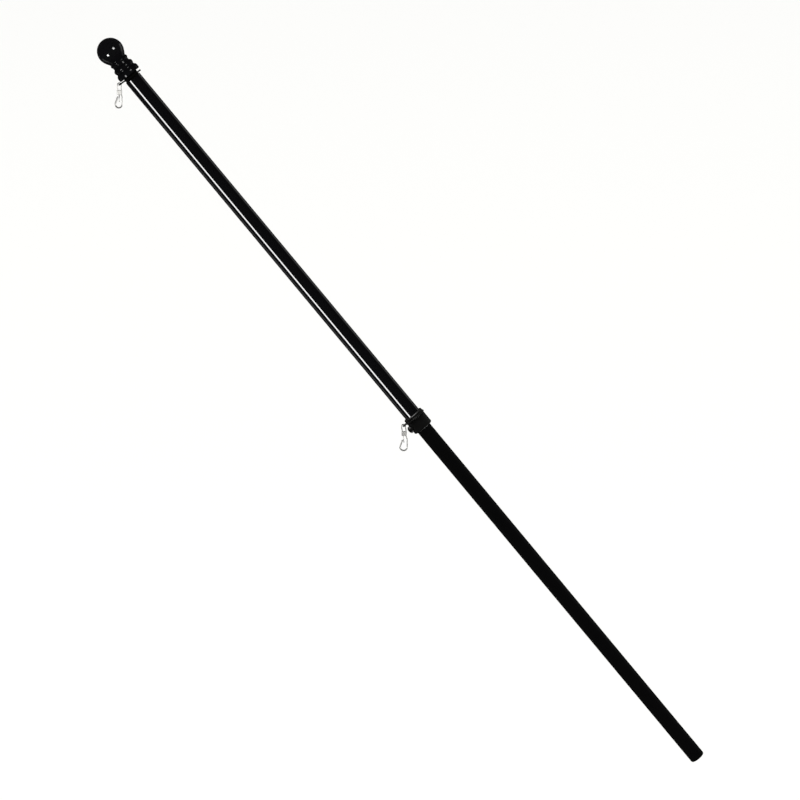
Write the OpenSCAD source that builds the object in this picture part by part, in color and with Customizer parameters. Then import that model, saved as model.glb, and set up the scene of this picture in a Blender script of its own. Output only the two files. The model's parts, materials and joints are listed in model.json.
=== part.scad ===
// House flagpole: a two-piece tube with a ball finial, a free-spinning upper sleeve
// between two lug rings, a stop collar at mid-length, and a wire snap clip on each ring.
// The pole leans as it does in a wall bracket. The butt face's centre is the origin.

/* [Pole] */
// Length from the butt face to the top of the ball
pole_len = 1524; // [1200:1:1900]
// Outside diameter of the lower pole and the core tube
tube_od = 25; // [22:0.1:32]
// Wall of the lower pole and the core tube
tube_wall = 1.2; // [0.8:0.1:2.5]
// Step down in radius of the lower pole's neck, inside and just below the collar
neck_step = 0.3; // [0.2:0.1:0.6]
// Lean of the pole from upright, with the finial towards -X
lean = 39.3; // [0:0.1:60]
// Length of the hidden spigot that joins the two tubes
spigot_len = 120; // [60:1:200]
// Wall of the joint spigot
spigot_wall = 1.5; // [1:0.1:3]

/* [Butt plug] */
// Thickness of the plug's cap below the lower pole
plug_cap = 3; // [2:0.1:6]
// Rounding of the cap's rim
plug_round = 1.6; // [0.5:0.1:1.9]
// Length of the plug inside the lower pole
plug_len = 18; // [8:1:40]

/* [Stop collar] */
// Height of the collar's lower face above the butt face
collar_z = 716; // [500:1:900]
// Height of the collar
collar_h = 20.8; // [14:0.1:40]
// Wall of the collar round the core tube
collar_wall = 4.5; // [3:0.1:8]
// Rounding of the collar's lower rim
collar_round = 1.8; // [0.5:0.1:3]
// Chamfer of the collar's upper rim
collar_chamfer = 0.7; // [0.2:0.1:1.5]
// Diameter of the screw boss
boss_od = 11.8; // [9:0.1:14]
// Reach of the boss's face past the collar
boss_out = 3.4; // [2:0.1:6]
// Height of the boss's axis above the joint of the two tubes
boss_up = 0.9; // [0.5:0.1:3]
// Turn of the boss from the underside of the pole
boss_turn = 18; // [-40:1:40]
// Diameter of the set screw's head
screw_head_d = 7.6; // [6:0.1:9]
// Height of the set screw's head
screw_head_h = 1.5; // [1:0.1:2]
// Diameter of the set screw's shank
screw_d = 4; // [3:0.1:5]

/* [Spinning sleeve] */
// Wall of the sleeve
sleeve_wall = 0.6; // [0.5:0.1:1.5]
// Reach of the lower bushing's flange past the sleeve
flange_out = 3.45; // [2:0.05:6]
// Thickness of the lower bushing's flange
flange_h = 4.6; // [2:0.1:8]
// Chamfer of the flange's upper rim
flange_chamfer = 1; // [0.3:0.1:1.5]
// Thickness of the upper bushing's rim
rim_h = 1.2; // [0.8:0.1:3]
// Length of each bushing inside the sleeve
bushing_len = 15; // [8:1:40]
// Wall of each bushing between the core tube and the sleeve
bushing_wall = 0.57; // [0.4:0.01:2]
// Radial running clearance of the bushings on the core tube
bushing_gap = 0.08; // [0.02:0.01:0.1]

/* [Lug rings] */
// Width of a ring's flat band
ring_band = 5.4; // [3:0.1:8]
// Radial clearance of a ring on the core tube
ring_gap = 0.4; // [0.3:0.05:1]
// Thickness of a ring
ring_t = 2.4; // [1.6:0.1:4]
// Axial clearance between the lower ring and its neighbours
ring_play = 0.35; // [0.3:0.05:1]
// Tip of the upper ring, with its ear towards the finial
ring_tip = 4.2; // [0:0.1:5]
// Half width of the ear
ear_r = 4.3; // [3.5:0.1:6]
// Reach of the ear past the ring
ear_out = 6.4; // [5:0.1:10]
// Radial clearance of the clip wire in the ear's hole
hole_clear = 0.6; // [0.4:0.05:1.2]
// Width of the web between the hole and the ear's end
ear_web = 2.4; // [1.6:0.1:3]

/* [Snap clips] */
// Diameter of the clip wire
wire_d = 2; // [1.4:0.1:2.4]
// Radial gap between the wire and the corners of the ear's web
wire_gap = 0.25; // [0.15:0.05:0.5]
// Edge of the clamp plate beyond the wire on each side
plate_edge = 0.25; // [0.2:0.05:1]
// Height of the clamp plate
plate_h = 7.4; // [5:0.1:10]
// Thickness of the clamp plate over the wire, front and back
plate_cover = 0.6; // [0.3:0.1:1.5]
// Depth of the clamp plate's upper edge below the hinge line
plate_drop = 8.4; // [7:0.1:14]
// Depth of the hook's bend centre below the clamp plate
hook_len = 18.2; // [15:0.1:30]
// Bend radius of the hook, to the wire's centre
hook_r = 5.8; // [4.5:0.1:9]
// Sideways shift of the hook's bend centre
hook_shift = -0.9; // [-3:0.1:3]
// Lean of the hook's open arm towards the gate
arm_lean = 20; // [5:1:30]
// Straight length of the hook's open arm
arm_len = 11; // [6:0.1:16]
// Length of the spring gate
gate_len = 10.5; // [8:0.1:16]

/* [Finial] */
// Diameter of the ball
ball_d = 43.2; // [35:0.1:60]
// Length of the neck from the ball's underside to the base of the cup
neck_len = 26.5; // [22:0.1:36]
// Gap between the cup and the spinning sleeve
cap_gap = 6.4; // [6.2:0.1:10]
// Depth of the core tube inside the finial
socket_depth = 22; // [12:1:28]
// Wall of the cup at its widest, round the core tube
cup_wall = 6.9; // [5:0.1:10]
// Wall of the finial's stem between the beads, round the core tube
stem_wall = 2; // [1.5:0.1:5]

/* [Hidden] */
$fn = 96;
tube_r = tube_od / 2;
bore_r = tube_r - tube_wall;
joint_z = collar_z + collar_h / 2;
neck_z = collar_z - 1;
neck_r = tube_r - neck_step;
ball_r = ball_d / 2;
ball_z = pole_len - ball_r;
cup_down = ball_r + neck_len;
cup_z = ball_z - cup_down;
bushing_bore_r = tube_r + bushing_gap;
sleeve_bore_r = bushing_bore_r + bushing_wall;
sleeve_r = sleeve_bore_r + sleeve_wall;
flange_r = sleeve_r + flange_out;
collar_r = tube_r + collar_wall;
boss_reach = collar_r + boss_out;
ring_bore_r = tube_r + ring_gap;
ring_r = ring_bore_r + ring_band;
ear_reach = ring_r + ear_out;
cup_r = tube_r + cup_wall;
stem_r = tube_r + stem_wall;
collar_top = collar_z + collar_h;
low_ring_z = collar_top + ring_play + ring_t / 2;
flange_z = low_ring_z + ring_t / 2 + ring_play;
sleeve_z = flange_z + flange_h;
rim_z = cup_z - cap_gap - rim_h;
top_ring_z = cup_z - cap_gap / 2;
web_r = ear_reach - ear_web / 2;
wire_r = wire_d / 2;
ear_hole_r = wire_r + hole_clear;
hole_at = ear_reach - ear_web - ear_hole_r;
loop_r = sqrt(pow(ear_web / 2, 2) + pow(ring_t / 2, 2)) + wire_gap + wire_r;
spine_x = hook_shift + hook_r;
plate_w = 2 * (loop_r + wire_r + plate_edge);
plate_t = wire_d + 2 * plate_cover;
plate_low = plate_drop + plate_h;
hook_drop = plate_low + hook_len;
eps = 0.01;

// Sets a part built round the Z axis onto the leaning pole
module on_pole() {
    rotate([0, -lean, 0]) children();
}

// A tube of outer radius r between two heights
module pipe(r, inner, from, to) {
    translate([0, 0, from]) difference() {
        cylinder(r = r, h = to - from);
        translate([0, 0, -1]) cylinder(r = inner, h = to - from + 2);
    }
}

// A round bar with a rounded or chamfered end, from a half outline of [radius, height]
module turned(outline) {
    rotate_extrude() polygon(outline);
}

module lower_pole() {
    color("#1b1b1d") on_pole() union() {
        pipe(tube_r, bore_r, plug_cap, neck_z);
        pipe(neck_r, bore_r, neck_z, joint_z);
    }
}

module core_tube() {
    color("#1b1b1d") on_pole() pipe(tube_r, bore_r, joint_z, cup_z + socket_depth);
}

module joint_spigot() {
    half = spigot_len / 2;
    color("#9a9a9c") on_pole() pipe(bore_r, bore_r - spigot_wall, joint_z - half, joint_z + half);
}

module butt_plug() {
    cap_r = tube_r - 0.3;
    color("#141414") on_pole() union() {
        rotate_extrude() union() {
            square([cap_r - plug_round, plug_cap]);
            translate([0, plug_round]) square([cap_r, plug_cap - plug_round]);
            translate([cap_r - plug_round, plug_round]) circle(r = plug_round);
        }
        translate([0, 0, plug_cap - eps]) cylinder(r = bore_r, h = plug_len + eps);
    }
}

// Set screw's axis: outwards from the pole through the boss
module at_boss() {
    rotate([0, 0, boss_turn]) translate([0, 0, joint_z + boss_up]) rotate([0, -90, 0]) children();
}

module stop_collar() {
    color("#18181a") on_pole() difference() {
        union() {
            translate([0, 0, collar_z]) rotate_extrude() union() {
                square([collar_r - collar_round, collar_h]);
                translate([0, collar_round]) square([collar_r, collar_h - collar_round - collar_chamfer]);
                translate([collar_r - collar_round, collar_round]) circle(r = collar_round);
                polygon([
                    [0, collar_h - collar_chamfer],
                    [collar_r, collar_h - collar_chamfer],
                    [collar_r - collar_chamfer, collar_h],
                    [0, collar_h]
                ]);
            }
            at_boss() cylinder(d = boss_od, h = boss_reach);
        }
        translate([0, 0, collar_z - 1]) cylinder(r = neck_r, h = collar_h);
        translate([0, 0, joint_z]) cylinder(r = tube_r, h = collar_h);
        at_boss() cylinder(d = screw_d, h = boss_reach + 1);
    }
}

module collar_screw() {
    slot_w = 1;
    slot_deep = 0.8;
    color("#3a3a34") on_pole() at_boss() difference() {
        union() {
            translate([0, 0, tube_r]) cylinder(d = screw_d, h = boss_reach - tube_r + eps);
            translate([0, 0, boss_reach]) cylinder(d = screw_head_d, h = screw_head_h);
        }
        translate([-screw_head_d, -slot_w / 2, boss_reach + screw_head_h - slot_deep])
            cube([2 * screw_head_d, slot_w, slot_deep + 1]);
    }
}

module spin_sleeve() {
    color("#101012") on_pole() pipe(sleeve_r, sleeve_bore_r, sleeve_z, rim_z);
}

module sleeve_low_bushing() {
    color("#161616") on_pole() difference() {
        union() {
            translate([0, 0, flange_z]) turned([
                [0, 0],
                [flange_r, 0],
                [flange_r, flange_h - flange_chamfer],
                [flange_r - flange_chamfer, flange_h],
                [0, flange_h]
            ]);
            translate([0, 0, sleeve_z - eps]) cylinder(r = sleeve_bore_r, h = bushing_len + eps);
        }
        translate([0, 0, flange_z - 1]) cylinder(r = bushing_bore_r, h = flange_h + bushing_len + 2);
    }
}

module sleeve_top_bushing() {
    color("#161616") on_pole() difference() {
        union() {
            translate([0, 0, rim_z]) cylinder(r = sleeve_r - 0.2, h = rim_h);
            translate([0, 0, rim_z - bushing_len]) cylinder(r = sleeve_bore_r, h = bushing_len + eps);
        }
        translate([0, 0, rim_z - bushing_len - 1])
            cylinder(r = bushing_bore_r, h = bushing_len + rim_h + 2);
    }
}

// A flat ring with one pierced ear towards -X, centred on its own middle plane
module lug_ring() {
    difference() {
        union() {
            cylinder(r = ring_r, h = ring_t, center = true);
            translate([-(ear_reach - ear_r), 0, 0]) cylinder(r = ear_r, h = ring_t, center = true);
            translate([-(ear_reach - ear_r), -ear_r, -ring_t / 2])
                cube([ear_reach - ear_r, 2 * ear_r, ring_t]);
        }
        cylinder(r = ring_bore_r, h = 2 * ring_t, center = true);
        translate([-hole_at, 0, 0]) cylinder(r = ear_hole_r, h = 2 * ring_t, center = true);
    }
}

module top_lug_ring() {
    color("#161616") on_pole() translate([0, 0, top_ring_z]) rotate([0, ring_tip, 0]) lug_ring();
}

module low_lug_ring() {
    color("#161616") on_pole() translate([0, 0, low_ring_z]) lug_ring();
}

module finial() {
    bead_r = 2.4;
    bead_up = 26.9;
    swell_r = 3.6;
    swell_up = 16.1;
    lip_r = 3.2;
    lip_up = 6.9;
    flank_down = 0.532 * ball_r;
    flank_r = sqrt(ball_r * ball_r - flank_down * flank_down) + 0.02;
    waist_down = ball_r - 3.6;
    throat_r = stem_r + 1.9;
    throat_up = 13.6;
    base_r = cup_r - 0.4;
    color("#0f0f11") on_pole() translate([0, 0, ball_z]) difference() {
        union() {
            sphere(r = ball_r);
            translate([0, 0, -waist_down])
                cylinder(r1 = stem_r + 0.2, r2 = flank_r, h = waist_down - flank_down);
            translate([0, 0, -cup_down]) {
                translate([0, 0, lip_up]) cylinder(r = stem_r, h = cup_down - lip_up - waist_down + 1);
                translate([0, 0, bead_up]) rotate_extrude()
                    translate([stem_r - 0.8, 0]) circle(r = bead_r);
                translate([0, 0, swell_up]) rotate_extrude()
                    translate([stem_r - 0.6, 0]) circle(r = swell_r);
                translate([0, 0, lip_up]) cylinder(r = throat_r, h = throat_up - lip_up);
                translate([0, 0, lip_up]) rotate_extrude()
                    translate([cup_r - lip_r, 0]) circle(r = lip_r);
                cylinder(r1 = base_r, r2 = cup_r, h = lip_up);
            }
        }
        translate([0, 0, -cup_down - 1]) cylinder(r = tube_r, h = socket_depth + 1);
    }
}

// Straight wire between two points of the clip's plane, given as [x, z]. It is a hair
// thinner than the bends, so that the two never share a surface.
module leg(p, q) {
    dx = q[0] - p[0];
    dz = q[1] - p[1];
    translate([p[0], 0, p[1]]) rotate([0, atan2(dx, dz), 0])
        cylinder(r = 0.98 * wire_r, h = sqrt(dx * dx + dz * dz), $fn = 24);
}

// Rounded knee or end of the wire, a hair fuller than the wire itself
module joint_ball(p) {
    translate([p[0], 0, p[1]]) sphere(r = 1.04 * wire_r, $fn = 24);
}

// Wire bent round a point of the clip's plane, from one angle through another
module bend(p, r, from, turn) {
    translate([p[0], 0, p[1]]) rotate([90, 0, 0]) rotate([0, 0, from])
        rotate_extrude(angle = turn) translate([r, 0]) circle(r = wire_r, $fn = 24);
}

// Loop, spine and hook of one wire, hung from the hinge line at the origin
module clip_wire() {
    foot = [loop_r, -plate_low];
    knee = [spine_x, -plate_low - 5];
    arm_low = [hook_shift - hook_r * cos(arm_lean), -hook_drop + hook_r * sin(arm_lean)];
    arm_tip = arm_low + arm_len * [sin(arm_lean), cos(arm_lean)];
    bend([0, 0], loop_r, 0, 180);
    leg([-loop_r, 0], [-loop_r, -plate_low]);
    leg([loop_r, 0], foot);
    joint_ball(foot);
    leg(foot, knee);
    joint_ball(knee);
    leg(knee, [spine_x, -hook_drop]);
    bend([hook_shift, -hook_drop], hook_r, 180 - arm_lean, 180 + arm_lean);
    leg(arm_low, arm_tip);
    joint_ball(arm_tip);
}

// Folded plate that clamps the two legs of the wire
module clip_plate() {
    difference() {
        translate([-plate_w / 2, -plate_t / 2, -plate_low]) cube([plate_w, plate_t, plate_h]);
        clip_wire();
    }
}

// Spring gate: a short wire from under the plate to behind the hook's tip
module clip_gate() {
    root = [-0.4, -plate_low - 1.04 * wire_r - 0.3];
    end = [0.4, -plate_low - gate_len];
    joint_ball(root);
    leg(root, end);
    joint_ball(end);
}

// Hangs a clip plumb from the ear of a ring at height z, tipped by tip degrees
module at_ear(z, tip) {
    x = -web_r * cos(tip);
    up = z + web_r * sin(tip);
    translate([x * cos(lean) - up * sin(lean), 0, x * sin(lean) + up * cos(lean)]) children();
}

module top_clip_wire() {
    color("#c9c9c6") at_ear(top_ring_z, ring_tip) clip_wire();
}

module top_clip_plate() {
    color("#b8b8b4") at_ear(top_ring_z, ring_tip) clip_plate();
}

module top_clip_gate() {
    color("#c9c9c6") at_ear(top_ring_z, ring_tip) clip_gate();
}

module low_clip_wire() {
    color("#c9c9c6") at_ear(low_ring_z, 0) clip_wire();
}

module low_clip_plate() {
    color("#b8b8b4") at_ear(low_ring_z, 0) clip_plate();
}

module low_clip_gate() {
    color("#c9c9c6") at_ear(low_ring_z, 0) clip_gate();
}

lower_pole();
core_tube();
joint_spigot();
butt_plug();
stop_collar();
collar_screw();
spin_sleeve();
sleeve_low_bushing();
sleeve_top_bushing();
finial();
top_lug_ring();
top_clip_wire();
top_clip_plate();
top_clip_gate();
low_lug_ring();
low_clip_wire();
low_clip_plate();
low_clip_gate();
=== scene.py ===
import json
import math
import bpy
from mathutils import Matrix, Vector


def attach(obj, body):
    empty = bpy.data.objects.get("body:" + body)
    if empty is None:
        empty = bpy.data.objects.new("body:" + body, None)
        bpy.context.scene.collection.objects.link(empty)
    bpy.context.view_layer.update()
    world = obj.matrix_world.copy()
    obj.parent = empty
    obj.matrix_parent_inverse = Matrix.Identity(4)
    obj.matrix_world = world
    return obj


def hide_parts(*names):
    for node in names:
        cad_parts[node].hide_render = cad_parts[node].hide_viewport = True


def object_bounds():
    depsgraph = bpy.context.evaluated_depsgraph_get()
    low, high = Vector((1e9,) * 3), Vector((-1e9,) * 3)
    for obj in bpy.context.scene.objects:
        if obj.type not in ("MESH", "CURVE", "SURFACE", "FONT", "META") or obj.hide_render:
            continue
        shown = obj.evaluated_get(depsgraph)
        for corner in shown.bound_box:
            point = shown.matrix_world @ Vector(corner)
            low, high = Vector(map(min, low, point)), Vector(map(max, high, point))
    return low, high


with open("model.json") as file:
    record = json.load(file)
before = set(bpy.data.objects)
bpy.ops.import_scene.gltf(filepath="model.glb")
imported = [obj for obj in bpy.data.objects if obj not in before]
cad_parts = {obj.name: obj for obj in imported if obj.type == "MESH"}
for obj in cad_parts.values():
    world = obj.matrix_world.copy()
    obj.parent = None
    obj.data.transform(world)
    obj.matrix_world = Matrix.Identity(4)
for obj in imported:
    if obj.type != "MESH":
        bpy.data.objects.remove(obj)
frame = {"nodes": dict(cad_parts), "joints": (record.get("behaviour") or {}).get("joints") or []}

print("frame loaded")
mm = 0.001
cadLow, cadHigh = [Vector(corner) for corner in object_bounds()]
middle = (cadLow + cadHigh) / 2
nodes = frame["nodes"]
joints = {joint["name"]: joint for joint in frame["joints"]}

# the pole runs along the sleeve's own axle, towards the finial
poleAxis = Vector(joints["sleeve_spin"]["axis"]).normalized()
underside = Vector((-poleAxis.z, 0, poleAxis.x))  # square to the pole, the side the clips hang on
leanAngle = math.atan2(-poleAxis.x, poleAxis.z)


def inMetres(sizes):
    return {name: size * mm for name, size in sizes.items()}


def lathed(point):
    # a point's station along the pole and its distance from the pole's axis
    station = point.dot(poleAxis)
    return station, (point - poleAxis * station).length


def spanOf(nodeName):
    # stations of a CAD node's two ends along the pole, and its smallest and largest radius
    stations, radii = zip(*[lathed(vertex.co) for vertex in nodes[nodeName].data.vertices])
    return min(stations), max(stations), min(radii), max(radii)


def linearColor(hexText):
    # sRGB hex to the linear RGBA that Blender's sockets take
    channels = [int(hexText[i:i + 2], 16) / 255 for i in (1, 3, 5)]
    curve = [c / 12.92 if c <= 0.04045 else ((c + 0.055) / 1.055) ** 2.4 for c in channels]
    return (*curve, 1.0)


def addNode(tree, kind, settings=None, **inputs):
    # one node with its settings; an input is a plain value or another node's output
    node = tree.nodes.new(kind)
    for name, value in (settings or {}).items():
        setattr(node, name, value)
    for name, value in inputs.items():
        socket = node.inputs[name.replace("_", " ")]
        if isinstance(value, bpy.types.NodeSocket):
            tree.links.new(value, socket)
        else:
            socket.default_value = value
    return node


# every finish has blotches of slightly different roughness and, if it shows, a grain in its bump;
# blotches are counted per metre, and all lengths are in mm
finishes = {
    # aluminium tube in satin black powder coat: a soft sheen broken up by fine orange peel
    "satinPowderCoat": {
        "color": "#060607",
        "roughness": (0.58, 0.72),
        "specular": 0.14,
        "blotches": 14.0,
        "blotchDetail": 3.0,
        "grain": 1.2,  # orange peel of a sprayed coat, from bump to bump
        "grainDetail": 2.0,
        "grainHeight": 0.03,
        "grainStrength": 0.5,
    },
    # thin drawn tube in baked gloss enamel: a hard, clean reflection with a slight waver
    "glossEnamel": {
        "color": "#050506",
        "roughness": (0.035, 0.06),
        "specular": 0.5,
        "blotches": 30.0,
        "blotchDetail": 4.0,
        "grain": 20.0,  # slow waviness of thin drawn tube
        "grainDetail": 1.0,
        "grainHeight": 0.02,
        "grainStrength": 0.3,
    },
    # polished moulded ABS of the finial: small bright highlights on near black
    "glossAbs": {
        "color": "#060607",
        "roughness": (0.05, 0.09),
        "specular": 0.5,
        "neckSpecular": 0.1,  # the neck is not buffed like the ball
        "ballLength": 32.5,  # the buffed ball reaches this far down from its top
        "fade": 2.0,  # the buffing fades out this far to both sides
        "blotches": 60.0,
        "blotchDetail": 4.0,
        "grain": 12.0,  # faint sinks of a thick moulding
        "grainDetail": 1.0,
        "grainHeight": 0.02,
        "grainStrength": 0.25,
    },
    # collar, bushings, rings and plug: moulded nylon with a fine spark-eroded skin
    "mouldedNylon": {
        "color": "#080807",
        "roughness": (0.4, 0.55),
        "specular": 0.22,
        "blotches": 80.0,
        "blotchDetail": 3.0,
        "grain": 0.8,  # mould texture, drawn coarse so that it shows
        "grainDetail": 3.0,
        "grainHeight": 0.03,
        "grainStrength": 0.4,
    },
    # bent spring wire and clamp plate: polished stainless with faint draw marks
    "polishedStainless": {
        "color": "#c3c2be",
        "roughness": (0.16, 0.28),
        "metallic": 1.0,
        "blotches": 150.0,
        "blotchDetail": 3.0,
        "grain": 0.6,  # draw marks, drawn coarse so that they show
        "grainDetail": 2.0,
        "grainHeight": 0.01,
        "grainStrength": 0.4,
    },
    # the set screw: oiled black oxide on steel, a dull near black with a trace of brown
    "blackOxideSteel": {
        "color": "#2b2a26",
        "roughness": (0.3, 0.5),
        "metallic": 0.6,
        "blotches": 500.0,
        "blotchDetail": 4.0,
    },
    # the joint spigot inside the tubes: bare drawn aluminium, dull and even
    "millAluminium": {
        "color": "#c9cacc",
        "roughness": (0.3, 0.45),
        "metallic": 1.0,
        "blotches": 300.0,
        "blotchDetail": 4.0,
        "noiseSpan": (0.0, 1.0),
    },
}


def buildFinish(name, s):
    material = bpy.data.materials.new(name)
    material.use_nodes = True
    tree = material.node_tree
    tree.nodes.clear()
    at = addNode(tree, "ShaderNodeTexCoord").outputs["Object"]
    noiseLow, noiseHigh = s.get("noiseSpan", (0.3, 0.7))  # nearly all of the noise lies in this span
    blotch = addNode(tree, "ShaderNodeTexNoise", Vector=at, Scale=s["blotches"], Detail=s["blotchDetail"])
    rough = addNode(tree, "ShaderNodeMapRange", Value=blotch.outputs["Fac"], From_Min=noiseLow,
                    From_Max=noiseHigh, To_Min=s["roughness"][0], To_Max=s["roughness"][1])
    shader = addNode(tree, "ShaderNodeBsdfPrincipled", Base_Color=linearColor(s["color"]),
                     Metallic=s.get("metallic", 0.0), Roughness=rough.outputs["Result"])
    if "grain" in s:
        grain = addNode(tree, "ShaderNodeTexNoise", Vector=at, Scale=1 / (s["grain"] * mm),
                        Detail=s["grainDetail"])
        bump = addNode(tree, "ShaderNodeBump", Height=grain.outputs["Fac"], Strength=s["grainStrength"],
                       Distance=s["grainHeight"] * mm)
        tree.links.new(bump.outputs["Normal"], shader.inputs["Normal"])
    if "specular" in s:
        shader.inputs["Specular IOR Level"].default_value = s["specular"]
    if "neckSpecular" in s:
        # the station along the pole tells the buffed ball from the neck
        station = addNode(tree, "ShaderNodeVectorMath", {"operation": "DOT_PRODUCT"}, Vector=at)
        station.inputs[1].default_value = poleAxis
        ballFrom = spanOf("finial")[1] - s["ballLength"] * mm
        fade = s["fade"] * mm
        shine = addNode(tree, "ShaderNodeMapRange", Value=station.outputs["Value"], From_Min=ballFrom - fade,
                        From_Max=ballFrom + fade, To_Min=s["neckSpecular"], To_Max=s["specular"])
        tree.links.new(shine.outputs["Result"], shader.inputs["Specular IOR Level"])
    addNode(tree, "ShaderNodeOutputMaterial", Surface=shader.outputs["BSDF"])
    return material


made = {name: buildFinish(name, s) for name, s in finishes.items()}
coat = made["satinPowderCoat"]
gloss = made["glossEnamel"]
finialPlastic = made["glossAbs"]
moulding = made["mouldedNylon"]
wire = made["polishedStainless"]
screw = made["blackOxideSteel"]
nodeFinishes = {
    "lower_pole": coat, "core_tube": coat, "joint_spigot": made["millAluminium"], "butt_plug": moulding,
    "stop_collar": moulding, "collar_screw": screw, "spin_sleeve": gloss,
    "sleeve_low_bushing": moulding, "sleeve_top_bushing": moulding, "finial": finialPlastic,
    "top_lug_ring": moulding, "low_lug_ring": moulding,
    "top_clip_wire": wire, "top_clip_plate": wire, "top_clip_gate": wire,
    "low_clip_wire": wire, "low_clip_plate": wire, "low_clip_gate": wire,
}
for nodeName, material in nodeFinishes.items():
    nodes[nodeName].data.materials.clear()
    nodes[nodeName].data.materials.append(material)
print("materials done")


modelling = {
    "latheSides": 128,
    "weld": 0.001,  # mm, points closer than this become one
    "edgeSteps": 3,
    "roundOver": 30,  # degrees: sharper edges are rounded
    "smoothUnder": 35,
    "flatWithin": 0.5,  # degrees: loose triangles this level make one flat
}


def startClean():
    # nothing stays selected, so the operators only touch the new piece
    bpy.ops.object.select_all(action="DESELECT")


def nameIt(piece, name):
    piece.name = name
    piece.data.name = name


def roundEdges(piece, width, steps=modelling["edgeSteps"], over=modelling["roundOver"]):
    # rounds every edge sharper than a given number of degrees
    bpy.ops.object.modifier_add(type="BEVEL")
    bevel = piece.modifiers[-1]
    bevel.width = width
    bevel.segments = steps
    bevel.limit_method = "ANGLE"
    bevel.angle_limit = math.radians(over)
    bpy.ops.object.modifier_apply(modifier=bevel.name)


def smoothOver(piece):
    bpy.ops.object.shade_smooth_by_angle(angle=math.radians(modelling["smoothUnder"]))
    bpy.ops.object.modifier_add(type="WEIGHTED_NORMAL")
    weighted = piece.modifiers[-1]
    weighted.keep_sharp = True
    bpy.ops.object.modifier_apply(modifier=weighted.name)


def settle():
    # the piece's place and size go into its mesh
    bpy.ops.object.transform_apply(location=True, rotation=True, scale=True)


def faceOutwards():
    bpy.ops.mesh.select_all(action="SELECT")
    bpy.ops.mesh.normals_make_consistent(inside=False)
    bpy.ops.object.mode_set(mode="OBJECT")


def fit(piece, body, replaced, material):
    # finish and body of a new piece, and the CAD node it stands for
    piece.data.materials.clear()
    piece.data.materials.append(material)
    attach(piece, body)
    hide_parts(replaced)


def turnPiece(name, outline, edge, loop=True):
    # lathe work: one ring drawn along the pole and widened or narrowed at each [radius, station]
    startClean()
    radius, station = outline[0]
    bpy.ops.mesh.primitive_circle_add(vertices=modelling["latheSides"], radius=radius,
                                      location=(0, 0, station))
    piece = bpy.context.object
    nameIt(piece, name)
    bpy.ops.object.mode_set(mode="EDIT")
    bpy.ops.mesh.select_all(action="SELECT")
    for newRadius, newStation in outline[1:] + (outline[:1] if loop else []):
        bpy.ops.mesh.extrude_region_move(TRANSFORM_OT_translate={"value": (0, 0, newStation - station)})
        grow = newRadius / radius
        bpy.ops.transform.resize(value=(grow, grow, 1), center_override=(0, 0, newStation))
        radius, station = newRadius, newStation
    bpy.ops.mesh.select_all(action="SELECT")
    bpy.ops.mesh.remove_doubles(threshold=modelling["weld"] * mm)
    if not loop:
        bpy.ops.mesh.fill_holes(sides=0)
    faceOutwards()
    settle()
    piece.rotation_euler = (0, -leanAngle, 0)
    settle()
    roundEdges(piece, edge)
    smoothOver(piece)
    return piece


def softenedCopy(nodeName, name, edge):
    # the CAD shape with its flats made whole and its edges rounded as a mould leaves them
    startClean()
    piece = bpy.data.objects.new(name, nodes[nodeName].data.copy())
    bpy.context.scene.collection.objects.link(piece)
    nameIt(piece, name)
    piece.select_set(True)
    bpy.context.view_layer.objects.active = piece
    bpy.ops.mesh.customdata_custom_splitnormals_clear()
    bpy.ops.object.mode_set(mode="EDIT")
    bpy.ops.mesh.select_all(action="SELECT")
    bpy.ops.mesh.remove_doubles(threshold=modelling["weld"] * mm)
    bpy.ops.mesh.dissolve_limited(angle_limit=math.radians(modelling["flatWithin"]))
    faceOutwards()
    roundEdges(piece, edge)
    smoothOver(piece)
    return piece


# sizes in mm from here on
tubes = {
    "endEase": 0.18,  # the deburred rim of a cut tube
    "loopFromEnd": 4.0,
    "necking": 1.2,  # length of the lower tube's swaged step
    "neckStart": 1.0,  # the step ends this far below the collar
    "rimBand": 0.5,  # the neck's radius is read this close to the tube's top
}


def buildPlainTube(name, nodeName, body, material):
    s = inMetres(tubes)
    low, high, inner, outer = spanOf(nodeName)
    outline = [[outer, low], [outer, low + s["loopFromEnd"]], [outer, high - s["loopFromEnd"]],
               [outer, high], [inner, high], [inner, low]]
    piece = turnPiece(name, outline, s["endEase"])
    fit(piece, body, nodeName, material)


def buildLowerTube():
    # the lower tube is swaged down a little where it enters the collar
    s = inMetres(tubes)
    low, high, inner, outer = spanOf("lower_pole")
    points = [lathed(vertex.co) for vertex in nodes["lower_pole"].data.vertices]
    neck = min(radius for station, radius in points
               if station > high - s["rimBand"] and radius > (inner + outer) / 2)
    step = spanOf("stop_collar")[0] - s["neckStart"]
    outline = [[outer, low], [outer, low + s["loopFromEnd"]], [outer, step - s["necking"]],
               [neck, step], [neck, high], [inner, high], [inner, low]]
    piece = turnPiece("lowerTube", outline, s["endEase"])
    fit(piece, "pole", "lower_pole", coat)


buildLowerTube()
buildPlainTube("coreTubeDrawn", "core_tube", "pole", coat)
buildPlainTube("sleeveTube", "spin_sleeve", "sleeve", gloss)
print("tubes done")


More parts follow.
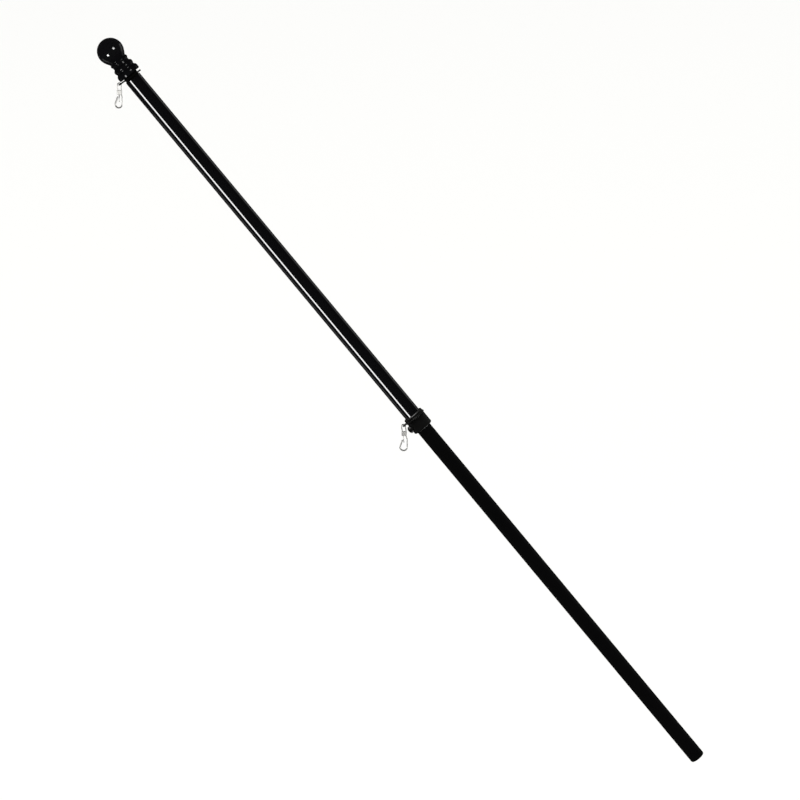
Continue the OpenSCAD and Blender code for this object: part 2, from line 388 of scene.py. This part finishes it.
finialShape = {
    "ballRadius": 21.57,
    "ballStep": 3.5,  # degrees between the ball's rings
    "junction": 121.0,  # degrees from the top of the ball to where the neck starts
    "topRing": 0.02,  # smallest ring, at the very top
    "boreTop": 26.3,  # end of the socket for the core tube, below the ball's centre
    "boreRing": 0.4,  # smallest ring, at the socket's end
    "edge": 0.3,
    # neck from the cup's base to the ball: radius and drop below the ball's centre
    "neck": [
        [12.62, 48.1], [18.85, 48.1], [19.15, 46.6], [19.28, 45.2], [19.38, 43.6], [19.38, 42.4],
        [19.2, 41.2], [18.8, 40.1], [18.2, 39.2], [17.4, 38.4], [16.6, 37.8], [16.4, 37.3],
        [16.4, 36.1], [16.6, 35.7], [17.0, 35.0], [17.3, 34.2], [17.48, 33.2], [17.54, 32.2],
        [17.46, 31.2], [17.2, 30.3], [16.7, 29.5], [16.0, 28.7], [15.2, 28.1], [14.62, 27.7],
        [14.5, 27.3], [14.5, 24.3], [14.62, 23.9], [15.1, 23.4], [15.6, 22.8], [15.95, 22.0],
        [16.08, 21.15], [15.95, 20.3], [15.6, 19.5], [15.1, 18.9], [14.75, 18.55], [14.7, 18.2],
        [14.82, 17.7], [15.2, 16.9], [15.8, 15.9], [16.5, 14.8], [17.3, 13.5], [17.95, 12.3],
    ],
}


def buildFinial():
    s = finialShape
    ballRadius = s["ballRadius"] * mm
    centre = spanOf("finial")[1] - ballRadius
    boreEnd = centre - s["boreTop"] * mm
    outline = [[s["boreRing"] * mm, boreEnd], [s["neck"][0][0] * mm, boreEnd]]
    outline += [[radius * mm, centre - drop * mm] for radius, drop in s["neck"]]
    for ring in range(int(s["junction"] / s["ballStep"]) + 1):
        turn = math.radians(s["junction"] - ring * s["ballStep"])
        outline.append([ballRadius * math.sin(turn), centre + ballRadius * math.cos(turn)])
    outline.append([s["topRing"] * mm, centre + ballRadius])
    piece = turnPiece("finialTurned", outline, s["edge"] * mm, loop=False)
    fit(piece, "pole", "finial", finialPlastic)


buildFinial()
print("finial done")


slip = 0.02  # slack of a bushing's shank in the sleeve
lowFlange = {
    "edge": 0.5,
    "shoulderDrop": 1.1,  # the flange's outer edge falls away
    "shoulderIn": 1.0,
    "faceDrop": 0.1,
    "lipOut": 0.7,  # a small lip round the sleeve's end
    "seatOut": 0.4,
    "seatDrop": 0.4,
}
topRimEdge = 0.3
buttCap = {
    "edge": 0.2,
    "centreRing": 0.2,  # smallest ring, at the middle
    # barely domed cap with a rounded rim: share of the tube's radius and rise above the butt
    "profile": [[0.45, 0.1], [0.72, 0.275], [0.87, 0.5], [0.95, 0.9], [0.99, 1.6], [1.0, 2.2]],
}
# moulded pieces that keep the CAD's shape: node, new piece, body, slot, finish and edge radius
softened = [
    ("stop_collar", "collarMoulded", "pole", "black_plastic", moulding, 0.6),
    ("collar_screw", "collarScrewSlotted", "pole", "blackened_steel", screw, 0.2),
    ("top_lug_ring", "topRingMoulded", "top_ring", "black_plastic", moulding, 0.4),
    ("low_lug_ring", "lowRingMoulded", "low_ring", "black_plastic", moulding, 0.4),
]


def buildLowFlange():
    s = inMetres(lowFlange)
    low, high, inner, outer = spanOf("sleeve_low_bushing")
    sleeveLow, _, sleeveInner, sleeveOuter = spanOf("spin_sleeve")
    shank = sleeveInner - slip * mm
    outline = [[inner, low], [outer, low], [outer, sleeveLow - s["shoulderDrop"]],
               [outer - s["shoulderIn"], sleeveLow - s["faceDrop"]], [sleeveOuter + s["lipOut"], sleeveLow],
               [sleeveOuter + s["seatOut"], sleeveLow - s["seatDrop"]],
               [shank, sleeveLow - s["seatDrop"]], [shank, high], [inner, high]]
    piece = turnPiece("lowFlange", outline, s["edge"])
    fit(piece, "sleeve", "sleeve_low_bushing", moulding)


def buildTopRim():
    low, high, inner, outer = spanOf("sleeve_top_bushing")
    _, sleeveHigh, sleeveInner, _ = spanOf("spin_sleeve")
    shank = sleeveInner - slip * mm
    outline = [[inner, low], [shank, low], [shank, sleeveHigh], [outer, sleeveHigh], [outer, high],
               [inner, high]]
    piece = turnPiece("topRim", outline, topRimEdge * mm)
    fit(piece, "sleeve", "sleeve_top_bushing", moulding)


def buildButtCap():
    s = buttCap
    low, high, _, outer = spanOf("butt_plug")
    tubeLow, _, tubeInner, _ = spanOf("lower_pole")
    centreRing = s["centreRing"] * mm
    outline = [[centreRing, low]]
    outline += [[outer * share, low + rise * mm] for share, rise in s["profile"]]
    outline += [[outer, tubeLow], [tubeInner, tubeLow], [tubeInner, high], [centreRing, high]]
    piece = turnPiece("buttCap", outline, s["edge"] * mm, loop=False)
    fit(piece, "pole", "butt_plug", moulding)


buildLowFlange()
buildTopRim()
buildButtCap()
for nodeName, name, body, slotName, material, edge in softened:
    fit(softenedCopy(nodeName, name, edge * mm), body, nodeName, material)
print("collar, bushings, plug and rings done")


# the two clips are bent by hand, so some sizes differ from the top one to the low one
clip = {
    "wire": 0.85,  # radius of the loop, legs and spine
    "hookWire": 1.15,  # the hook is upset to a fuller section
    "sides": 20,
    "loop": 2.947,
    "loopSteps": 24,
    "loopStraight": 0.8,
    "legStart": 1.2,  # the cut leg starts this far above the plate's lower edge
    "legStraight": 6.4,
    "legJog": {"top": -0.1, "low": 1.1},  # how far the legs lean out on their way to the plate
    "jogTurn": 12.0,
    "jogBend": 1.5,
    "jogSteps": 3,
    "kneeAbove": 0.6,  # the knee starts this far above the plate's lower edge
    "kneeTurn": 21.3,
    "kneeBend": 5.0,
    "kneeSteps": 6,
    "spineAcross": {"top": 4.0, "low": 4.9},
    "hookDrop": {"top": 31.2, "low": 34.4},
    "hookBend": {"top": 5.4, "low": 5.8},
    "hookSteps": 20,
    "swellTurn": 16,  # degrees of hook in each of its four swelling parts
    "swellParts": 4,
    "swellSteps": 2,
    "armLean": 20.0,
    "armLength": {"top": 9.4, "low": 8.9},
    "tipTurn": {"top": 12.0, "low": 4.0},
    "tipBend": 5.0,
    "tipSteps": 4,
    "endTurns": (25, 50, 70, 84),  # degrees round a filed end
    "weld": 0.0001,
    "smoothUnder": 60,  # degrees
}
clipPlate = {
    "drop": 8.4,  # below the clip's hinge
    "size": (8.3, 3.1, 7.4),
    "wrap": 1.45,  # radius of the fold round the wire
    "wrapSteps": 8,
    "rim": 1.1,
    "crimp": 0.35,
    "crimpShape": (0.55, 1, 1.25),
    "edge": 0.18,
    "edgeSteps": 2,
    "roundOver": 25,
}
clipGate = {
    "wire": 0.75,
    "start": 0.95,  # above the gate's hinge, just under the plate
    "heading": {"top": 181.0, "low": 175.0},
    # the root is filed to a blunt point: length, and share of the wire's radius
    "root": [[0.25, 0.8], [0.3, 1.0]],
    "rootTip": 0.35,
    "straight": 4.65,
    "bow": -4,  # degrees, a slight curve towards the spine's side
    "bowBend": 30,
    "bowSteps": 3,
    "end": 3.0,
}


class WireBender:
    # draws one wire in the plane of the clip, as a bending jig would
    def __init__(self, name, at, heading, radius):
        startClean()
        self.at = Vector(at)
        self.heading = heading  # degrees from straight up, towards +X
        self.radius = radius
        bpy.ops.mesh.primitive_circle_add(vertices=clip["sides"], radius=radius, location=self.at,
                                          rotation=(0, math.radians(heading), 0))
        self.piece = bpy.context.object
        nameIt(self.piece, name)
        bpy.ops.object.mode_set(mode="EDIT")
        bpy.ops.mesh.select_mode(type="VERT")  # a bare ring only extrudes by its vertices
        bpy.ops.mesh.select_all(action="SELECT")

    def ahead(self):
        turn = math.radians(self.heading)
        return Vector((math.sin(turn), 0, math.cos(turn)))

    def go(self, length, radius=None):
        # a straight length, with a new radius at its end if one is given
        step = self.ahead() * length
        bpy.ops.mesh.extrude_region_move(TRANSFORM_OT_translate={"value": step})
        self.at += step
        if radius is not None:
            self.swell(radius)

    def swell(self, radius):
        grow = radius / self.radius
        bpy.ops.transform.resize(value=(grow, grow, grow), center_override=self.at)
        self.radius = radius

    def turn(self, degrees, bend, steps):
        # a bend; positive degrees turn clockwise as seen from the front
        side = 1 if degrees > 0 else -1
        along = self.ahead()
        centre = self.at + Vector((along.z, 0, -along.x)) * bend * side
        # the spin operator turns the other way round its axis, so the axis points to the front
        bpy.ops.mesh.spin(steps=steps, angle=math.radians(degrees), center=centre, axis=(0, -1, 0))
        self.heading += degrees
        along = self.ahead()
        self.at = centre - Vector((along.z, 0, -along.x)) * bend * side

    def jog(self, shift, degrees, bend, steps):
        # a step sideways along X that comes back to the old heading
        way = math.copysign(1, shift) * math.copysign(1, self.ahead().z)
        lean = math.radians(degrees)
        slant = (abs(shift) - 2 * bend * (1 - math.cos(lean))) / math.sin(lean)
        self.turn(way * degrees, bend, steps)
        self.go(slant)
        self.turn(-way * degrees, bend, steps)

    def endRound(self):
        # a filed, rounded end
        radius, reach = self.radius, 0
        for degrees in clip["endTurns"]:
            turn = math.radians(degrees)
            self.go(radius * math.sin(turn) - reach, radius * math.cos(turn))
            reach = radius * math.sin(turn)

    def finish(self):
        bpy.ops.mesh.select_all(action="SELECT")
        bpy.ops.mesh.remove_doubles(threshold=clip["weld"] * mm)
        bpy.ops.mesh.fill_holes(sides=0)
        faceOutwards()
        settle()
        bpy.ops.object.shade_smooth_by_angle(angle=math.radians(clip["smoothUnder"]))
        return self.piece


def buildClipWire(end, hinge):
    s = clip
    hookBend = s["hookBend"][end] * mm
    jogBend = s["jogBend"] * mm
    legJog = s["legJog"][end]
    plateLow = clipPlate["drop"] + clipPlate["size"][2]
    start = hinge + Vector((legJog - s["loop"], 0, s["legStart"] - plateLow)) * mm
    bender = WireBender(end + "ClipWireBent", start, 0, s["wire"] * mm)
    bender.go(s["legStraight"] * mm)
    bender.jog(-legJog * mm, s["jogTurn"], jogBend, s["jogSteps"])
    bender.go(hinge.z - bender.at.z)
    bender.turn(180, s["loop"] * mm, s["loopSteps"])
    bender.go(s["loopStraight"] * mm)
    bender.jog(legJog * mm, s["jogTurn"], jogBend, s["jogSteps"])
    bender.go(bender.at.z - hinge.z + (plateLow - s["kneeAbove"]) * mm)
    # the knee carries the spine out to the side of the hook
    bender.jog((s["spineAcross"][end] - s["loop"]) * mm, s["kneeTurn"], s["kneeBend"] * mm,
               s["kneeSteps"])
    bender.go(bender.at.z - hinge.z + s["hookDrop"][end] * mm)
    # the hook swells to its fuller section through the first part of its bend
    for part in range(s["swellParts"]):
        bender.turn(s["swellTurn"], hookBend, s["swellSteps"])
        share = (part + 1) / s["swellParts"]
        bender.swell((s["wire"] + (s["hookWire"] - s["wire"]) * share) * mm)
    swelled = s["swellTurn"] * s["swellParts"]
    bender.turn(180 + s["armLean"] - swelled, hookBend, s["hookSteps"])
    bender.go(s["armLength"][end] * mm)
    bender.turn(s["tipTurn"][end], s["tipBend"] * mm, s["tipSteps"])
    bender.endRound()
    fit(bender.finish(), end + "_clip", end + "_clip_wire", wire)


def clearPicks(piece):
    bpy.ops.object.mode_set(mode="OBJECT")
    for parts in (piece.data.vertices, piece.data.edges, piece.data.polygons):
        for part in parts:
            part.select = False


def buildClipPlate(end, hinge):
    # a strip folded round both legs and crimped between them
    s = clipPlate
    startClean()
    size = Vector(s["size"]) * mm
    centre = hinge + Vector((clip["legJog"][end] * mm, 0, -s["drop"] * mm - size.z / 2))
    bpy.ops.mesh.primitive_cube_add(size=1, location=centre, scale=size)
    piece = bpy.context.object
    nameIt(piece, end + "ClipPlateFolded")
    settle()
    bpy.ops.object.mode_set(mode="EDIT")
    bpy.ops.mesh.select_mode(type="EDGE")
    # the four upright edges become the folds
    clearPicks(piece)
    points = piece.data.vertices
    for edge in piece.data.edges:
        span = points[edge.vertices[0]].co - points[edge.vertices[1]].co
        edge.select = abs(span.z) > max(abs(span.x), abs(span.y))
    bpy.ops.object.mode_set(mode="EDIT")
    bpy.ops.mesh.bevel(offset=s["wrap"] * mm, segments=s["wrapSteps"], affect="EDGES")
    bpy.ops.mesh.select_mode(type="FACE")
    for facing in (-1, 1):
        clearPicks(piece)
        for face in piece.data.polygons:
            face.select = face.normal.y * facing > 0.99
        bpy.ops.object.mode_set(mode="EDIT")
        bpy.ops.mesh.inset(thickness=s["rim"] * mm)
        bpy.ops.transform.translate(value=(0, -facing * s["crimp"] * mm, 0))
        bpy.ops.transform.resize(value=s["crimpShape"],
                                 center_override=centre + Vector((0, facing * size.y / 2, 0)))
    bpy.ops.object.mode_set(mode="OBJECT")
    roundEdges(piece, s["edge"] * mm, s["edgeSteps"], s["roundOver"])
    smoothOver(piece)
    fit(piece, end + "_clip", end + "_clip_plate", wire)


def buildClipGate(end, root):
    s = clipGate
    radius = s["wire"] * mm
    start = root + Vector((0, 0, s["start"])) * mm
    bender = WireBender(end + "ClipGateSprung", start, s["heading"][end], radius * s["rootTip"])
    for length, share in s["root"]:
        bender.go(length * mm, radius * share)
    bender.go(s["straight"] * mm)
    bender.turn(s["bow"], s["bowBend"] * mm, s["bowSteps"])
    bender.go(s["end"] * mm)
    bender.endRound()
    fit(bender.finish(), end + "_gate", end + "_clip_gate", wire)


for end in ("top", "low"):
    hinge = Vector(joints[end + "_clip_swing"]["pos_m"])
    buildClipWire(end, hinge)
    buildClipPlate(end, hinge)
    buildClipGate(end, Vector(joints[end + "_gate_spring"]["pos_m"]))
print("clips done")


# metres and degrees from here on
studio = {
    "floorDrop": 1.7,  # the pole is held up by its bracket, well clear of the floor
    "floorSize": 400.0,
    "floorColor": "#f7f7f5",
    "floorRoughness": 0.9,
    "skyColor": "#ffffff",
    "sky": 1.15,  # even white light all round
    "skyInGloss": 0.03,  # dimmed where gloss mirrors it, so black stays black
}


def buildFloor():
    startClean()
    at = (middle.x, 0, cadLow.z - studio["floorDrop"])
    bpy.ops.mesh.primitive_plane_add(size=studio["floorSize"], location=at)
    floor = bpy.context.object
    floor.name = "floor"
    paper = bpy.data.materials.new("paleFloor")
    paper.use_nodes = True
    tree = paper.node_tree
    tree.nodes.clear()
    shader = addNode(tree, "ShaderNodeBsdfPrincipled", Base_Color=linearColor(studio["floorColor"]),
                     Roughness=studio["floorRoughness"])
    addNode(tree, "ShaderNodeOutputMaterial", Surface=shader.outputs["BSDF"])
    floor.data.materials.append(paper)
    floor.visible_glossy = False


def buildSky():
    # white all round, but dimmer in reflections
    world = bpy.data.worlds.new("studioSky")
    world.use_nodes = True
    bpy.context.scene.world = world
    tree = world.node_tree
    tree.nodes.clear()
    path = addNode(tree, "ShaderNodeLightPath")
    level = addNode(tree, "ShaderNodeMapRange", Value=path.outputs["Is Glossy Ray"],
                    To_Min=studio["sky"], To_Max=studio["skyInGloss"])
    back = addNode(tree, "ShaderNodeBackground", Color=linearColor(studio["skyColor"]),
                   Strength=level.outputs["Result"])
    addNode(tree, "ShaderNodeOutputWorld", Surface=back.outputs["Background"])


cameraSetup = {
    "elevation": 9.57,
    "distance": 5.242,
    "lens": 145.6,
    "sensor": 36,
    "roll": -0.057,
    "aimRight": -0.0093,
    "aimUp": 0.0109,
    "farthest": 600,
}
cameraTilt = math.radians(cameraSetup["elevation"])
towardsCamera = Vector((0, -math.cos(cameraTilt), math.sin(cameraTilt)))


def buildCamera():
    s = cameraSetup
    aim = Vector((middle.x + s["aimRight"], 0, middle.z + s["aimUp"]))
    bpy.ops.object.camera_add(location=aim + towardsCamera * s["distance"])
    camera = bpy.context.object
    camera.rotation_mode = "ZXY"
    camera.rotation_euler = (math.pi / 2 - cameraTilt, 0, math.radians(s["roll"]))
    camera.data.lens = s["lens"]
    camera.data.sensor_width = s["sensor"]
    camera.data.clip_end = s["farthest"]
    bpy.context.scene.camera = camera


buildFloor()
buildSky()
buildCamera()


# a light may fall on some pieces only, so that each shine has its own softbox
litPieces = {
    "clipPieces": [end + part for end in ("top", "low")
                   for part in ("ClipWireBent", "ClipPlateFolded", "ClipGateSprung")],
    "finialPieces": ["finialTurned"],
    "mouldedPieces": ["collarMoulded", "lowFlange", "lowRingMoulded"],
    "sleevePieces": ["sleeveTube"],
}
# each softbox faces a station on the pole, from a distance along "towards", or for the sleeve's
# stripe turned by some degrees from the camera's side to the underside; its length, the second
# size, runs along the pole, and slide shifts it that way
softboxes = {
    "stripeLight": {"station": 0.90, "turn": 48, "away": 3.0, "size": (0.85, 1.2), "glow": 24.0,
                    "only": "sleevePieces"},
    "dotHighLight": {"station": 1.50, "towards": (0.495, -0.745, 0.448), "away": 3.0, "size": (0.8, 0.8),
                     "glow": 18.0, "only": "finialPieces"},
    "dotLowLight": {"station": 1.50, "towards": (-0.281, -0.809, -0.517), "away": 3.0,
                    "size": (0.68, 0.68), "glow": 42.0, "only": "finialPieces"},
    "backRightLight": {"station": 0.70, "towards": (0.771, 0.53, 0.464), "away": 3.0, "size": (1.3, 3.4),
                       "glow": 0.5, "slide": -0.4},
    "backLeftLight": {"station": 0.70, "towards": (-0.607, 0.205, -0.66), "away": 2.2, "size": (0.5, 2.6),
                      "glow": 0.6, "slide": -0.3},
    "rimLowLight": {"station": 0.72, "towards": (0.70, 0.10, -0.70), "away": 1.7, "size": (0.9, 0.5),
                    "glow": 30.0, "only": "mouldedPieces"},
    "rimTopLight": {"station": 0.73, "towards": (-0.618, -0.128, 0.776), "away": 2.2, "size": (1.2, 0.9),
                    "glow": 42.0, "only": "mouldedPieces"},
}
# a low white band round the clips, so that upright bright metal reads pale and slanted metal dark
clipBand = {"away": 2.6, "size": (2.6, 1.0), "rise": -10.9, "turns": (0, 52, 104, -52, -104), "glow": 1.7}


def gather(name, pieceNames):
    # a collection of finished pieces, for a light that only falls on them
    group = bpy.data.collections.new(name)
    for pieceName in pieceNames:
        group.objects.link(bpy.data.objects[pieceName])
    return group


def addSoftbox(name, target, direction, s, lengthAlong):
    # a rectangular light facing its target, its long side turned along a given direction
    startClean()
    at = target + direction * s["away"] + poleAxis * s.get("slide", 0)
    bpy.ops.object.light_add(type="AREA", location=at)
    lamp = bpy.context.object
    lamp.name = name
    lamp.data.shape = "RECTANGLE"
    lamp.data.size, lamp.data.size_y = s["size"]
    lamp.data.energy = s["glow"] * math.pi * s["size"][0] * s["size"][1]
    lamp.visible_camera = False
    away = (at - target).normalized()
    along = (lengthAlong - away * lengthAlong.dot(away)).normalized()
    turned = Matrix((along.cross(away), along, away)).transposed().to_4x4()
    lamp.matrix_world = Matrix.Translation(at) @ turned
    return lamp


def lightThePole():
    groups = {name: gather(name, pieceNames) for name, pieceNames in litPieces.items()}
    cameraSide = (towardsCamera - poleAxis * towardsCamera.dot(poleAxis)).normalized()
    for name, s in softboxes.items():
        if "turn" in s:
            turn = math.radians(s["turn"])
            direction = cameraSide * math.cos(turn) + underside * math.sin(turn)
        else:
            direction = Vector(s["towards"]).normalized()
        lamp = addSoftbox(name, poleAxis * s["station"], direction, s, poleAxis)
        if "only" in s:
            lamp.light_linking.receiver_collection = groups[s["only"]]
    clipAt = Vector(joints["top_clip_swing"]["pos_m"])
    rise = math.radians(clipBand["rise"])
    for degrees in clipBand["turns"]:
        turn = math.radians(degrees)
        direction = Vector((math.sin(turn) * math.cos(rise), -math.cos(turn) * math.cos(rise),
                            math.sin(rise)))
        lamp = addSoftbox("clipBand", clipAt, direction, clipBand, Vector((0, 0, 1)))
        lamp.light_linking.receiver_collection = groups["clipPieces"]


lightThePole()
bpy.context.scene.view_settings.view_transform = "Standard"
print("studio done")
